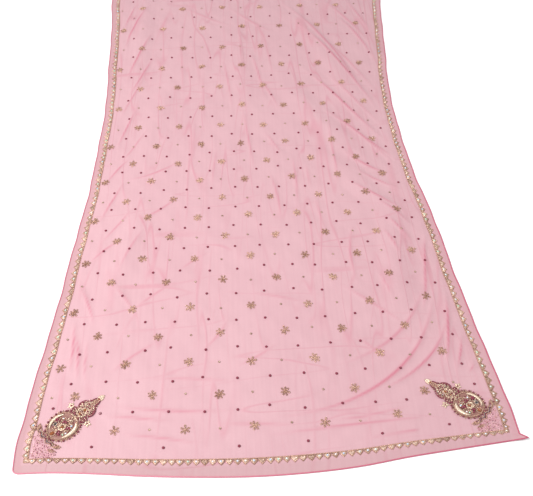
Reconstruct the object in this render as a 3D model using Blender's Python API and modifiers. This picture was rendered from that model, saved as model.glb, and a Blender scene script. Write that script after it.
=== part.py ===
"""A sheer embroidered dupatta stole, laid out flat on a table or floor.

Metres, +Z up.  The stole's length runs along Y, with the near end towards -Y.  The origin is
under the middle of its box, on the surface it lies on.

The stole is one long rectangle of thin cloth.  Its four edges are finished with a narrow rolled
hem, a scalloped metal-thread border is sewn inside each hem, and a worked motif fills each corner.
A point of the cloth is named by its place in the flat cut: "across" is measured from the left hem
and "along" from the near hem.  lay() takes such a point to where it lies on the surface.
"""
import math

import bpy
import numpy as np

# ---- the cut of the cloth -------------------------------------------------------------------
WIDTH = 0.97                # hem to hem
LENGTH = 2.28               # near hem to far hem
CLOTH_WALL = 0.0012         # the cloth with its embroidery threads
GAP = 0.0003                # kept between neighbouring pieces
HEM_RADIUS = 0.0014         # the rolled hem

# ---- the border of metal thread -------------------------------------------------------------
BORDER_FROM_SIDE = 0.014    # the scallops' points, from the hems of the long sides
BORDER_FROM_END = 0.024     # and from the hems of the two ends
BORDER_DEPTH = 0.013        # points to the straight inner line
BORDER_WALL = 0.0012

# ---- the corner motifs ----------------------------------------------------------------------
MOTIF_ACROSS = 0.081        # the round head's centre, from the side hem
MOTIF_ALONG = 0.114         # and from the end hem
MOTIF_LEAN = math.radians(43.0)
MOTIF_WALL = 0.0022
CORNER_REACH = 0.20         # the stiff corner that no fold enters

# ---- how the cloth lies ---------------------------------------------------------------------
SURFACE_PITCH = 0.040       # aimed distance between the points of the cloth's mesh
NEAR_HEM_FADE = 0.11        # length over which the near hem's curve dies out
FAR_SAG = 0.016
CURL_RISE = 0.006           # the near right corner is pulled out and curls up
CURL_PULL = 0.013
CURL_REACH = 0.020

# A row for each section across the stole.  "along" is in the flat cut, "laid" is the distance
# of that section from the near hem's lowest point, and "left" and "right" are the reach of
# the hems from the middle line.  The middle of the stole is drawn in by small folds.
SECTION_COLUMNS = ("along", "laid", "left", "right")
SECTIONS = (
    (0.00, 0.000, 0.500, 0.492),
    (0.06, 0.057, 0.502, 0.491),
    (0.13, 0.124, 0.496, 0.486),
    (0.25, 0.238, 0.483, 0.470),
    (0.45, 0.427, 0.463, 0.451),
    (0.65, 0.613, 0.444, 0.433),
    (0.85, 0.790, 0.430, 0.413),
    (1.05, 0.967, 0.422, 0.401),
    (1.25, 1.162, 0.424, 0.408),
    (1.45, 1.360, 0.433, 0.426),
    (1.65, 1.560, 0.446, 0.447),
    (1.90, 1.808, 0.463, 0.465),
    (2.16, 2.066, 0.479, 0.478),
    (2.28, 2.184, 0.485, 0.482),
)

# The near hem's curve: how far it lies back from its lowest point.
NEAR_HEM_COLUMNS = ("across", "set_back")
NEAR_HEM = (
    (0.00, 0.0280),
    (0.06, 0.0275),
    (0.15, 0.0210),
    (0.25, 0.0110),
    (0.35, 0.0040),
    (0.45, 0.0000),
    (0.55, 0.0016),
    (0.65, 0.0086),
    (0.75, 0.0225),
    (0.85, 0.0335),
    (0.97, 0.0460),
)

# The largest soft folds, a row each.  A fold runs from one point of the cut to another, rises
# to "rise" in its middle and fades out at "half_width" to each side.
FOLD_COLUMNS = ("from_across", "from_along", "to_across", "to_along", "rise", "half_width")
FOLDS = (
    (0.13, 1.74, 0.09, 1.20, 0.0060, 0.050),
    (0.24, 1.34, 0.12, 0.92, 0.0045, 0.055),
    (0.17, 0.78, 0.11, 0.34, 0.0050, 0.055),
    (0.42, 1.58, 0.50, 1.02, 0.0040, 0.060),
    (0.62, 1.66, 0.88, 1.12, 0.0065, 0.055),
    (0.58, 1.30, 0.86, 0.84, 0.0055, 0.060),
    (0.70, 0.96, 0.90, 0.62, 0.0045, 0.055),
    (0.87, 0.74, 0.80, 0.30, 0.0060, 0.055),
    (0.74, 0.30, 0.34, 0.20, 0.0045, 0.060),
    (0.30, 0.62, 0.62, 0.52, 0.0035, 0.070),
    (0.80, 1.98, 0.62, 1.72, 0.0050, 0.060),
    (0.22, 2.06, 0.40, 1.74, 0.0050, 0.060),
    (0.30, 2.12, 0.70, 2.06, 0.0040, 0.060),
)

# The outline of a corner motif, along its axis from the round head's centre to the leaf tip.
MOTIF_COLUMNS = ("along_axis", "half_width")
MOTIF_OUTLINE = (
    (-0.040, 0.010),
    (-0.030, 0.020),
    (-0.018, 0.028),
    (0.000, 0.032),
    (0.018, 0.029),
    (0.032, 0.024),
    (0.050, 0.019),
    (0.066, 0.013),
    (0.081, 0.006),
    (0.098, 0.001),
)

COLLECTION = "dupatta_stole"


def column(table, names, name):
    """One named column of a table, as an array."""
    return np.array([row[names.index(name)] for row in table])


def smooth_through(x, knots, values):
    """A cubic Hermite curve through the knots, with slopes from each knot's neighbours."""
    x = np.clip(x, knots[0], knots[-1])
    slopes = np.gradient(values, knots)
    left = np.clip(np.searchsorted(knots, x, side="right") - 1, 0, len(knots) - 2)
    span = knots[left + 1] - knots[left]
    t = (x - knots[left]) / span
    start = (1 + 2 * t) * (1 - t) ** 2 * values[left] + t * (1 - t) ** 2 * span * slopes[left]
    end = t**2 * (3 - 2 * t) * values[left + 1] + t**2 * (t - 1) * span * slopes[left + 1]
    return start + end


def near_set_back(across):
    """How far the near hem lies back from its lowest point."""
    knots = column(NEAR_HEM, NEAR_HEM_COLUMNS, "across")
    return smooth_through(across, knots, column(NEAR_HEM, NEAR_HEM_COLUMNS, "set_back"))


def fold_height(across, along):
    """Height of the soft folds: a cosine across each fold and a half sine along it."""
    height = np.zeros_like(across)
    for from_across, from_along, to_across, to_along, rise, half_width in FOLDS:
        run = np.array((to_across - from_across, to_along - from_along))
        length = np.hypot(*run)
        run /= length
        t = ((across - from_across) * run[0] + (along - from_along) * run[1]) / length
        off = (along - from_along) * run[0] - (across - from_across) * run[1]
        ridge = np.cos(np.clip(off / half_width, -1, 1) * math.pi / 2) ** 2
        height += rise * ridge * np.sin(np.clip(t, 0, 1) * math.pi)
    return height * quiet_edges(across, along)


def quiet_edges(across, along):
    """A mask that is 0 on the border and in the stiff corners, and 1 in the open ground."""
    from_side = np.minimum(across, WIDTH - across)
    from_end = np.minimum(along, LENGTH - along)
    from_border = np.minimum(from_side - BORDER_FROM_SIDE, from_end - BORDER_FROM_END) - BORDER_DEPTH
    from_corner = np.hypot(from_side, from_end) - CORNER_REACH
    edge = np.clip(from_border / SURFACE_PITCH, 0, 1)
    corner = np.clip(from_corner / SURFACE_PITCH, 0, 1)
    return edge * corner


def curl(across, along):
    """1 at the near right corner, fading to 0 at CURL_REACH from it."""
    away = np.hypot(WIDTH - across, along)
    return np.clip(1 - away / CURL_REACH, 0, 1)


def lay(across, along):
    """Where points of the flat cut lie on the surface, as an array of x, y, z."""
    knots = column(SECTIONS, SECTION_COLUMNS, "along")
    laid = smooth_through(along, knots, column(SECTIONS, SECTION_COLUMNS, "laid"))
    left = smooth_through(along, knots, column(SECTIONS, SECTION_COLUMNS, "left"))
    right = smooth_through(along, knots, column(SECTIONS, SECTION_COLUMNS, "right"))
    share = across / WIDTH
    side = 2 * share - 1
    x = -left + (left + right) * share + CURL_PULL * curl(across, along)
    y = laid - SECTIONS[-1][SECTION_COLUMNS.index("laid")] / 2
    y = y + near_set_back(across) * np.exp(-along / NEAR_HEM_FADE)
    y = y - FAR_SAG * side**2 * np.exp(-(LENGTH - along) / NEAR_HEM_FADE)
    z = fold_height(across, along) + CURL_RISE * curl(across, along)
    return np.stack((x, y, z), axis=-1)


def stations(total, inner_edge):
    """Points from one hem to the other, with a pair of them on the border's two edges."""
    start = inner_edge + BORDER_DEPTH
    count = round((total - 2 * start) / SURFACE_PITCH)
    middle = np.linspace(start, total - start, count + 1)
    return np.concatenate(([0.0, inner_edge], middle, [total - inner_edge, total]))


def material(name, colour, roughness, metallic):
    """A Principled material."""
    made = bpy.data.materials.new(name)
    made.use_nodes = True
    shader = made.node_tree.nodes["Principled BSDF"]
    shader.inputs["Base Color"].default_value = (*colour, 1.0)
    shader.inputs["Roughness"].default_value = roughness
    shader.inputs["Metallic"].default_value = metallic
    return made


def add_object(name, data, finish):
    """Puts a mesh or curve in the stole's collection with its own material."""
    data.materials.append(finish)
    made = bpy.data.objects.new(name, data)
    stole.objects.link(made)
    return made


def sheet_mesh(name, points):
    """An open surface through a grid of points, every cell cut along the same diagonal."""
    rows, columns = points.shape[:2]
    index = np.arange(rows * columns).reshape(rows, columns)
    a = index[:-1, :-1].ravel()
    b = index[:-1, 1:].ravel()
    c = index[1:, 1:].ravel()
    d = index[1:, :-1].ravel()
    faces = np.concatenate((np.stack((a, b, c), 1), np.stack((a, c, d), 1)))
    mesh = bpy.data.meshes.new(name)
    mesh.from_pydata(points.reshape(-1, 3).tolist(), [], faces.tolist())
    mesh.shade_smooth()
    return mesh


def add_wall(name, points, thickness, finish):
    """A wall whose underside is the surface through the points."""
    made = add_object(name, sheet_mesh(name, points), finish)
    wall = made.modifiers.new("wall", "SOLIDIFY")
    wall.thickness = thickness
    wall.offset = 1.0
    return made


def add_hem(name, edge, outward, finish):
    """A rolled hem beside an edge of the cloth: a tube one gap away from it."""
    run = np.gradient(edge[:, :2], axis=0)
    run /= np.linalg.norm(run, axis=1, keepdims=True)
    normal = np.stack((run[:, 1], -run[:, 0]), axis=1) * outward
    path = edge.copy()
    path[:, :2] += normal * (HEM_RADIUS + GAP)
    path[:, 2] += HEM_RADIUS
    for end, inner in ((0, 1), (-1, -2)):
        back = path[inner] - path[end]
        path[end] += back / np.linalg.norm(back) * 2 * HEM_RADIUS
    curve = bpy.data.curves.new(name, "CURVE")
    curve.dimensions = "3D"
    curve.bevel_depth = HEM_RADIUS
    curve.bevel_resolution = 1
    curve.use_fill_caps = True
    spline = curve.splines.new("POLY")
    spline.points.add(len(path) - 1)
    for point, place in zip(spline.points, path):
        point.co = (*place, 1.0)
    return add_object(name, curve, finish)


def add_motif(name, right_side, far_end, finish):
    """A corner motif: its outline on the flat, raised by half its thickness each way."""
    axis = np.array((math.cos(MOTIF_LEAN), math.sin(MOTIF_LEAN)))
    aside = np.array((-axis[1], axis[0]))
    centre = np.array((MOTIF_ACROSS, MOTIF_ALONG))
    upper = [centre + axis * along + aside * half for along, half in MOTIF_OUTLINE]
    lower = [centre + axis * along - aside * half for along, half in MOTIF_OUTLINE]
    cut = np.array(lower + upper[::-1])
    across = WIDTH - cut[:, 0] if right_side else cut[:, 0]
    along = LENGTH - cut[:, 1] if far_end else cut[:, 1]
    outline = lay(across, along)
    curve = bpy.data.curves.new(name, "CURVE")
    curve.dimensions = "2D"
    curve.fill_mode = "BOTH"
    curve.extrude = MOTIF_WALL / 2
    spline = curve.splines.new("POLY")
    spline.points.add(len(outline) - 1)
    for point, place in zip(spline.points, outline):
        point.co = (place[0], place[1], 0.0, 1.0)
    spline.use_cyclic_u = True
    made = add_object(name, curve, finish)
    made.location.z = CLOTH_WALL + GAP + MOTIF_WALL / 2
    return made


for old in list(bpy.data.objects):
    bpy.data.objects.remove(old, do_unlink=True)
stole = bpy.data.collections.new(COLLECTION)
bpy.context.scene.collection.children.link(stole)

# ---- the ground: one panel of sheer cloth ---------------------------------------------------
across_stations = stations(WIDTH, BORDER_FROM_SIDE)
along_stations = stations(LENGTH, BORDER_FROM_END)
across_grid, along_grid = np.meshgrid(across_stations, along_stations)
ground_points = lay(across_grid, along_grid)
cloth_pink = material("cloth_pink", (0.80, 0.47, 0.52), 0.70, 0.0)
ground = add_wall("ground_panel", ground_points, CLOTH_WALL, cloth_pink)

# ---- the rolled hems, one for each edge -----------------------------------------------------
for edge_name, edge_points, outward_turn in (
    ("hem_near", ground_points[0], 1),
    ("hem_far", ground_points[-1], -1),
    ("hem_left", ground_points[:, 0], -1),
    ("hem_right", ground_points[:, -1], 1),
):
    hem_pink = material(edge_name + "_pink", (0.62, 0.14, 0.26), 0.65, 0.0)
    add_hem(edge_name, edge_points, outward_turn, hem_pink)

# ---- the scalloped border: strips lying on the ground, from its own points moved out ---------
normals = np.array([vertex.normal for vertex in ground.data.vertices])
above = ground_points + normals.reshape(ground_points.shape) * (CLOTH_WALL + GAP)
BORDER_ROW = 1              # the two rows of points on the border's edges, counted from a hem
for strip_name, strip_points in (
    ("border_near", above[BORDER_ROW:BORDER_ROW + 2, 2:-2]),
    ("border_far", above[-BORDER_ROW - 2:-BORDER_ROW, 2:-2]),
    ("border_left", above[1:-1, BORDER_ROW:BORDER_ROW + 2]),
    ("border_right", above[1:-1, -BORDER_ROW - 2:-BORDER_ROW]),
):
    gold_thread = material(strip_name + "_gold", (0.60, 0.42, 0.28), 0.40, 0.7)
    strip = strip_points.copy()
    if strip_name in ("border_near", "border_far"):
        strip[:, 0, 0] += GAP
        strip[:, -1, 0] -= GAP
    add_wall(strip_name, strip, BORDER_WALL, gold_thread)

# ---- the corner motifs ----------------------------------------------------------------------
for end_name, at_far_end in (("near", False), ("far", True)):
    for side_name, at_right in (("left", False), ("right", True)):
        motif_name = "motif_" + end_name + "_" + side_name
        worked_gold = material(motif_name + "_gold", (0.52, 0.33, 0.25), 0.40, 0.6)
        add_motif(motif_name, at_right, at_far_end, worked_gold)
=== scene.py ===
import math

import bpy
import numpy as np
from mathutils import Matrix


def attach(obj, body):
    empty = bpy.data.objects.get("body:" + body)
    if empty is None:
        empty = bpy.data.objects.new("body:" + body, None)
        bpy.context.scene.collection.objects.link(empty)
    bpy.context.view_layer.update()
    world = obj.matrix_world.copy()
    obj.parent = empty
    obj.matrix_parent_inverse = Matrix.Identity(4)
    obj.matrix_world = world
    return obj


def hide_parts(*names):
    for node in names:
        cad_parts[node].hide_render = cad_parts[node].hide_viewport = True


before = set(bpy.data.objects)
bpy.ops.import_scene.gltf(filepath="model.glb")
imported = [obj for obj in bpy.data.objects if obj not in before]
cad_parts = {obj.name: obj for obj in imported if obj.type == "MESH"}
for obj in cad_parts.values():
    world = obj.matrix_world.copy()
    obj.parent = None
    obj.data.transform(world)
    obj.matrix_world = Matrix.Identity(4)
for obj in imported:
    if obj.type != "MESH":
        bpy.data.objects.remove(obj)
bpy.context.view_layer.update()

# ---- The cut of the cloth and how it lies -----------------------------------------------------
# One long rectangle of sheer crepe, laid flat.  A point of it is named by its place in the flat
# cut, "across" from the left hem and "along" from the near hem, and lay() takes that to where it
# lies.  The middle of the length is drawn in by small folds, and the near hem sags in a curve.
WIDTH = 0.97
LENGTH = 2.28
CLOTH_WALL = 0.0012
BORDER_FROM_SIDE = 0.014    # the border's points, from the hems of the long sides
BORDER_FROM_END = 0.024     # and from the hems of the two ends
BORDER_DEPTH = 0.013
CORNER_REACH = 0.20         # the stiff corner that no fold enters
EASE = 0.040                # over which a fold fades out beside the border
SMALL_EASE = 0.3 * EASE     # and a crease or a ripple
CREASE_TAPER = 0.6          # how bluntly a crease ends
FULL_TINT_RISE = 0.0023     # a crease that rises so far has its full tint
WAVE_LAG = 2.5              # the long hems' waves differ by this phase from left to right
HEM_CURVE_FADE = 0.11       # over which the end hems' curves die out
FAR_SAG = 0.016
CURL_RISE = 0.006           # the near right corner is pulled out and curls up
CURL_PULL = 0.013
CURL_REACH = 0.020
CORNER_ROUNDING = 0.012     # the other three corners are turned in round
HEM_WAVES = (
    # waves in a metre, phase, reach: how the long hems wander
    (2.7, 0.7, 0.0012),
    (6.3, 2.0, 0.0007),
    (12.1, 4.1, 0.0004),
)
SECTIONS = np.array((
    # along, laid, left, right
    (0.00, 0.000, 0.500, 0.492),
    (0.06, 0.057, 0.502, 0.491),
    (0.13, 0.124, 0.496, 0.486),
    (0.25, 0.238, 0.483, 0.470),
    (0.45, 0.427, 0.463, 0.451),
    (0.65, 0.613, 0.444, 0.433),
    (0.85, 0.790, 0.430, 0.413),
    (1.05, 0.967, 0.422, 0.401),
    (1.25, 1.162, 0.424, 0.408),
    (1.45, 1.360, 0.433, 0.426),
    (1.65, 1.560, 0.446, 0.447),
    (1.90, 1.808, 0.463, 0.465),
    (2.16, 2.066, 0.479, 0.478),
    (2.28, 2.184, 0.485, 0.482),
)).T
NEAR_HEM = np.array((
    # across, how far the near hem lies back from its lowest point
    (0.00, 0.0280),
    (0.06, 0.0275),
    (0.15, 0.0210),
    (0.25, 0.0110),
    (0.35, 0.0040),
    (0.45, 0.0000),
    (0.55, 0.0016),
    (0.65, 0.0086),
    (0.75, 0.0225),
    (0.85, 0.0335),
    (0.97, 0.0460),
)).T
LARGE_FOLDS = np.array((
    # from across, from along, to across, to along, half width, rise
    (0.13, 1.74, 0.09, 1.20, 0.050, 0.0060),
    (0.24, 1.34, 0.12, 0.92, 0.055, 0.0045),
    (0.17, 0.78, 0.11, 0.34, 0.055, 0.0050),
    (0.42, 1.58, 0.50, 1.02, 0.060, 0.0040),
    (0.62, 1.66, 0.88, 1.12, 0.055, 0.0065),
    (0.58, 1.30, 0.86, 0.84, 0.060, 0.0055),
    (0.70, 0.96, 0.90, 0.62, 0.055, 0.0045),
    (0.87, 0.74, 0.80, 0.30, 0.055, 0.0060),
    (0.74, 0.30, 0.34, 0.20, 0.060, 0.0045),
    (0.30, 0.62, 0.62, 0.52, 0.070, 0.0035),
    (0.80, 1.98, 0.62, 1.72, 0.060, 0.0050),
    (0.22, 2.06, 0.40, 1.74, 0.060, 0.0050),
    (0.30, 2.12, 0.70, 2.06, 0.060, 0.0040),
))
CREASES = np.array((
    # from across, from along, to across, to along, bow, half width, rise: "bow" is how far a
    # crease's middle stands off the straight line between its ends
    # long slanting ones that run down to the right border
    (0.60, 1.67, 0.89, 1.16, 0.027, 0.0060, 0.0024),
    (0.66, 1.54, 0.92, 1.10, 0.018, 0.0055, 0.0028),
    (0.71, 1.50, 0.93, 1.17, 0.016, 0.0045, 0.0016),
    (0.74, 1.69, 0.93, 1.40, 0.012, 0.0050, 0.0018),
    (0.84, 1.67, 0.93, 1.47, 0.004, 0.0045, 0.0020),
    (0.80, 1.58, 0.93, 1.32, 0.018, 0.0045, 0.0022),
    (0.67, 1.32, 0.91, 0.97, 0.012, 0.0055, 0.0026),
    (0.74, 1.30, 0.92, 1.03, 0.008, 0.0040, 0.0016),
    (0.72, 1.13, 0.92, 0.86, 0.021, 0.0055, 0.0024),
    (0.82, 1.03, 0.93, 0.88, 0.003, 0.0045, 0.0020),
    (0.77, 0.94, 0.91, 0.82, -0.015, 0.0060, 0.0022),
    (0.79, 0.86, 0.92, 0.76, -0.006, 0.0050, 0.0018),
    (0.76, 0.81, 0.90, 0.68, 0.000, 0.0055, 0.0022),
    (0.82, 0.74, 0.91, 0.62, 0.005, 0.0045, 0.0018),
    (0.84, 0.67, 0.89, 0.57, 0.003, 0.0050, 0.0020),
    # short ones that run down to the left border
    (0.14, 1.67, 0.05, 1.42, -0.013, 0.0055, 0.0026),
    (0.10, 1.69, 0.04, 1.52, -0.004, 0.0040, 0.0022),
    (0.15, 1.52, 0.06, 1.25, -0.004, 0.0055, 0.0024),
    (0.16, 1.40, 0.07, 1.19, 0.003, 0.0050, 0.0022),
    (0.13, 1.30, 0.05, 1.10, 0.000, 0.0045, 0.0018),
    (0.11, 1.16, 0.06, 0.97, -0.004, 0.0050, 0.0022),
    (0.15, 1.06, 0.07, 0.90, 0.004, 0.0045, 0.0014),
    (0.11, 0.94, 0.04, 0.82, -0.003, 0.0050, 0.0020),
    (0.27, 0.92, 0.10, 0.84, 0.014, 0.0055, 0.0016),
    (0.10, 0.84, 0.05, 0.67, -0.003, 0.0050, 0.0020),
    (0.27, 0.78, 0.15, 0.68, 0.010, 0.0055, 0.0016),
    (0.14, 0.74, 0.06, 0.60, 0.004, 0.0045, 0.0016),
    # faint ones down the middle
    (0.24, 1.52, 0.26, 1.17, 0.004, 0.0060, 0.0010),
    (0.33, 1.34, 0.34, 1.04, -0.005, 0.0060, 0.0009),
    (0.39, 1.40, 0.43, 1.11, 0.004, 0.0050, 0.0013),
    (0.46, 1.55, 0.47, 1.28, -0.006, 0.0050, 0.0013),
    (0.49, 1.41, 0.54, 1.16, 0.006, 0.0050, 0.0016),
    (0.50, 1.30, 0.59, 1.11, 0.008, 0.0045, 0.0015),
    (0.46, 1.15, 0.49, 0.85, 0.003, 0.0050, 0.0015),
    (0.53, 1.03, 0.58, 0.92, 0.003, 0.0045, 0.0013),
    (0.53, 0.87, 0.55, 0.64, 0.010, 0.0055, 0.0014),
    (0.61, 0.93, 0.60, 0.70, 0.006, 0.0050, 0.0014),
    (0.74, 1.08, 0.73, 0.76, 0.006, 0.0050, 0.0016),
    (0.65, 0.89, 0.65, 0.77, 0.000, 0.0045, 0.0012),
    (0.66, 0.76, 0.67, 0.61, -0.004, 0.0050, 0.0013),
    (0.24, 1.66, 0.43, 1.53, -0.006, 0.0060, 0.0013),
    (0.42, 1.64, 0.58, 1.49, -0.008, 0.0055, 0.0016),
    (0.30, 1.10, 0.29, 0.88, 0.006, 0.0055, 0.0009),
    (0.38, 0.98, 0.36, 0.78, -0.004, 0.0055, 0.0009),
    # arcs that swing round the near right corner
    (0.91, 0.44, 0.47, 0.12, 0.100, 0.0060, 0.0026),
    (0.92, 0.36, 0.70, 0.16, 0.035, 0.0050, 0.0024),
    (0.89, 0.46, 0.62, 0.23, 0.050, 0.0065, 0.0016),
    (0.93, 0.60, 0.89, 0.42, -0.003, 0.0045, 0.0026),
    (0.91, 0.54, 0.86, 0.36, 0.006, 0.0050, 0.0020),
    (0.93, 0.42, 0.87, 0.21, 0.006, 0.0050, 0.0028),
    (0.93, 0.30, 0.89, 0.20, 0.003, 0.0040, 0.0024),
    (0.94, 0.23, 0.90, 0.17, 0.000, 0.0035, 0.0018),
    (0.75, 0.28, 0.86, 0.41, -0.016, 0.0050, 0.0016),
    (0.67, 0.46, 0.82, 0.32, 0.006, 0.0050, 0.0014),
    (0.69, 0.31, 0.75, 0.24, 0.002, 0.0045, 0.0013),
    (0.75, 0.65, 0.73, 0.44, -0.018, 0.0055, 0.0016),
    (0.82, 0.63, 0.85, 0.52, 0.004, 0.0045, 0.0018),
    (0.78, 0.50, 0.80, 0.40, 0.002, 0.0045, 0.0015),
    # the near end's gentle ripples and the left side's folds
    (0.92, 0.075, 0.64, 0.060, 0.004, 0.0050, 0.0016),
    (0.85, 0.090, 0.46, 0.080, -0.008, 0.0055, 0.0016),
    (0.78, 0.125, 0.60, 0.105, 0.004, 0.0050, 0.0014),
    (0.16, 0.160, 0.43, 0.140, -0.006, 0.0060, 0.0014),
    (0.15, 0.135, 0.30, 0.118, 0.003, 0.0050, 0.0014),
    (0.19, 0.092, 0.36, 0.068, 0.004, 0.0050, 0.0014),
    (0.36, 0.110, 0.56, 0.098, 0.005, 0.0060, 0.0010),
    (0.04, 0.48, 0.10, 0.36, 0.004, 0.0045, 0.0020),
    (0.05, 0.38, 0.07, 0.24, 0.002, 0.0045, 0.0024),
    (0.06, 0.35, 0.09, 0.22, 0.003, 0.0045, 0.0022),
    (0.09, 0.33, 0.11, 0.21, -0.003, 0.0040, 0.0014),
    (0.18, 0.40, 0.28, 0.48, 0.006, 0.0055, 0.0013),
    (0.12, 0.48, 0.19, 0.39, 0.004, 0.0050, 0.0014),
    (0.15, 0.23, 0.26, 0.32, 0.008, 0.0055, 0.0014),
    (0.28, 0.51, 0.36, 0.57, 0.004, 0.0050, 0.0012),
    (0.34, 0.28, 0.41, 0.38, -0.010, 0.0055, 0.0012),
    (0.42, 0.24, 0.52, 0.30, -0.004, 0.0055, 0.0012),
    (0.05, 0.54, 0.12, 0.62, 0.006, 0.0050, 0.0018),
    (0.13, 0.51, 0.18, 0.66, 0.006, 0.0050, 0.0014),
    (0.44, 0.44, 0.60, 0.40, 0.006, 0.0060, 0.0009),
    (0.22, 0.22, 0.44, 0.20, 0.008, 0.0060, 0.0009),
    # the far part, like the near one
    (0.07, 1.84, 0.12, 1.66, 0.005, 0.0050, 0.0022),
    (0.05, 1.98, 0.10, 1.80, -0.004, 0.0045, 0.0020),
    (0.06, 2.08, 0.08, 1.92, 0.003, 0.0045, 0.0022),
    (0.92, 2.06, 0.86, 1.78, 0.010, 0.0055, 0.0024),
    (0.90, 1.92, 0.72, 1.70, 0.016, 0.0055, 0.0022),
    (0.93, 1.86, 0.84, 1.68, 0.006, 0.0050, 0.0020),
    (0.80, 2.08, 0.42, 2.14, 0.050, 0.0060, 0.0018),
    (0.22, 2.10, 0.50, 2.17, -0.012, 0.0055, 0.0014),
    (0.28, 2.02, 0.36, 1.76, 0.010, 0.0060, 0.0014),
    (0.44, 1.98, 0.42, 1.70, -0.006, 0.0055, 0.0013),
    (0.57, 2.02, 0.53, 1.74, 0.008, 0.0055, 0.0014),
    (0.68, 1.98, 0.62, 1.76, 0.004, 0.0050, 0.0013),
    (0.16, 1.92, 0.26, 1.70, 0.006, 0.0050, 0.0016),
    (0.36, 2.12, 0.66, 2.05, 0.014, 0.0060, 0.0012),
))
SMALL_RIPPLES = (
    # turns across, turns along, phase, rise: faint unevenness all over the ground
    (9.0, 13.0, 0.4, 0.00030),
    (-13.0, 19.0, 2.1, 0.00022),
    (21.0, 8.0, 4.4, 0.00016),
    (17.0, -27.0, 1.3, 0.00014),
    (31.0, 22.0, 3.7, 0.00010),
)


def smooth_through(x, knots, values):
    """A cubic Hermite curve through the knots' values, with slopes from their neighbours."""
    x = np.clip(x, knots[0], knots[-1])
    slopes = np.gradient(values, knots)
    left = np.clip(np.searchsorted(knots, x, side="right") - 1, 0, len(knots) - 2)
    span = knots[left + 1] - knots[left]
    t = (x - knots[left]) / span
    start = (1 + 2 * t) * (1 - t) ** 2 * values[left] + t * (1 - t) ** 2 * span * slopes[left]
    end = t**2 * (3 - 2 * t) * values[left + 1] + t**2 * (t - 1) * span * slopes[left + 1]
    return start + end


def open_ground(across, along, ease):
    """0 on the border and in the stiff corners, rising to 1 over the distance "ease"."""
    from_side = np.minimum(across, WIDTH - across)
    from_end = np.minimum(along, LENGTH - along)
    to_points = np.minimum(from_side - BORDER_FROM_SIDE, from_end - BORDER_FROM_END)
    from_corner = np.hypot(from_side, from_end) - CORNER_REACH
    return np.clip((to_points - BORDER_DEPTH) / ease, 0, 1) * np.clip(from_corner / ease, 0, 1)


def by_line(across, along, from_across, from_along, to_across, to_along):
    """Where points are by a straight line: the share of it passed, 0 to 1, and how far aside."""
    length = math.hypot(to_across - from_across, to_along - from_along)
    run = (to_across - from_across) / length, (to_along - from_along) / length
    share = ((across - from_across) * run[0] + (along - from_along) * run[1]) / length
    aside = (along - from_along) * run[0] - (across - from_across) * run[1]
    return np.clip(share, 0, 1), aside


def creased(across, along):
    """Height and depth of tint of the creases: a bell across each one, a half sine along it."""
    height = np.zeros_like(across)
    tint = np.zeros_like(across)
    for *line, bow, half_width, rise in CREASES:
        share, aside = by_line(across, along, *line)
        aside = (aside - bow * 4 * share * (1 - share)) / half_width
        bell = np.exp(-aside**2) * np.sin(share * math.pi) ** CREASE_TAPER
        height = np.maximum(height, rise * bell)
        # the tint is partly cloth lying double and partly painted shade in the crease
        tint = np.maximum(tint, bell**3 * rise / FULL_TINT_RISE)
    return height, tint


def rounded_corners(across, along):
    """The cut with three corners rounded: a square's edge distance is made a circle's in each."""
    for far_side, far_end in ((0, 0), (0, 1), (1, 1)):
        to_side = (WIDTH - across if far_side else across) / CORNER_ROUNDING
        to_end = (LENGTH - along if far_end else along) / CORNER_ROUNDING
        to_side, to_end = np.clip(1 - to_side, 0, 1), np.clip(1 - to_end, 0, 1)
        pull = 1 - np.maximum(to_side, to_end) / np.maximum(np.hypot(to_side, to_end), 1e-9)
        across = across + CORNER_ROUNDING * to_side * pull * (1 - 2 * far_side)
        along = along + CORNER_ROUNDING * to_end * pull * (1 - 2 * far_end)
    return across, along


def lay(across, along, lift=0.0):
    """Where points of the flat cut lie: x, y, z, at "lift" above the cloth's upper face."""
    across, along = rounded_corners(across, along)
    share = across / WIDTH
    left = smooth_through(along, SECTIONS[0], SECTIONS[2])
    right = smooth_through(along, SECTIONS[0], SECTIONS[3])
    curl = np.clip(1 - np.hypot(WIDTH - across, along) / CURL_REACH, 0, 1)
    x = -left + (left + right) * share + CURL_PULL * curl
    for waves, phase, wander in HEM_WAVES:
        wave = np.sin(2 * math.pi * waves * along + phase + WAVE_LAG * share)
        x = x + wander * wave * (2 * share - 1) ** 2
    y = smooth_through(along, SECTIONS[0], SECTIONS[1]) - SECTIONS[1, -1] / 2
    y = y + smooth_through(across, *NEAR_HEM) * np.exp(-along / HEM_CURVE_FADE)
    y = y - FAR_SAG * (2 * share - 1) ** 2 * np.exp(-(LENGTH - along) / HEM_CURVE_FADE)
    height = np.zeros_like(x)
    for *line, half_width, rise in LARGE_FOLDS:
        passed, aside = by_line(across, along, *line)
        ridge = np.cos(np.clip(aside / half_width, -1, 1) * math.pi / 2) ** 2
        height += rise * ridge * np.sin(passed * math.pi)
    height *= open_ground(across, along, EASE)
    loose = open_ground(across, along, SMALL_EASE)
    for turns_across, turns_along, phase, rise in SMALL_RIPPLES:
        wave = np.sin(2 * math.pi * (turns_across * across + turns_along * along) + phase)
        height += rise * (1 + wave) * loose
    height += creased(across, along)[0] * loose
    z = CLOTH_WALL + height + CURL_RISE * curl + lift
    return np.stack((x, y, z), axis=-1)
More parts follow.
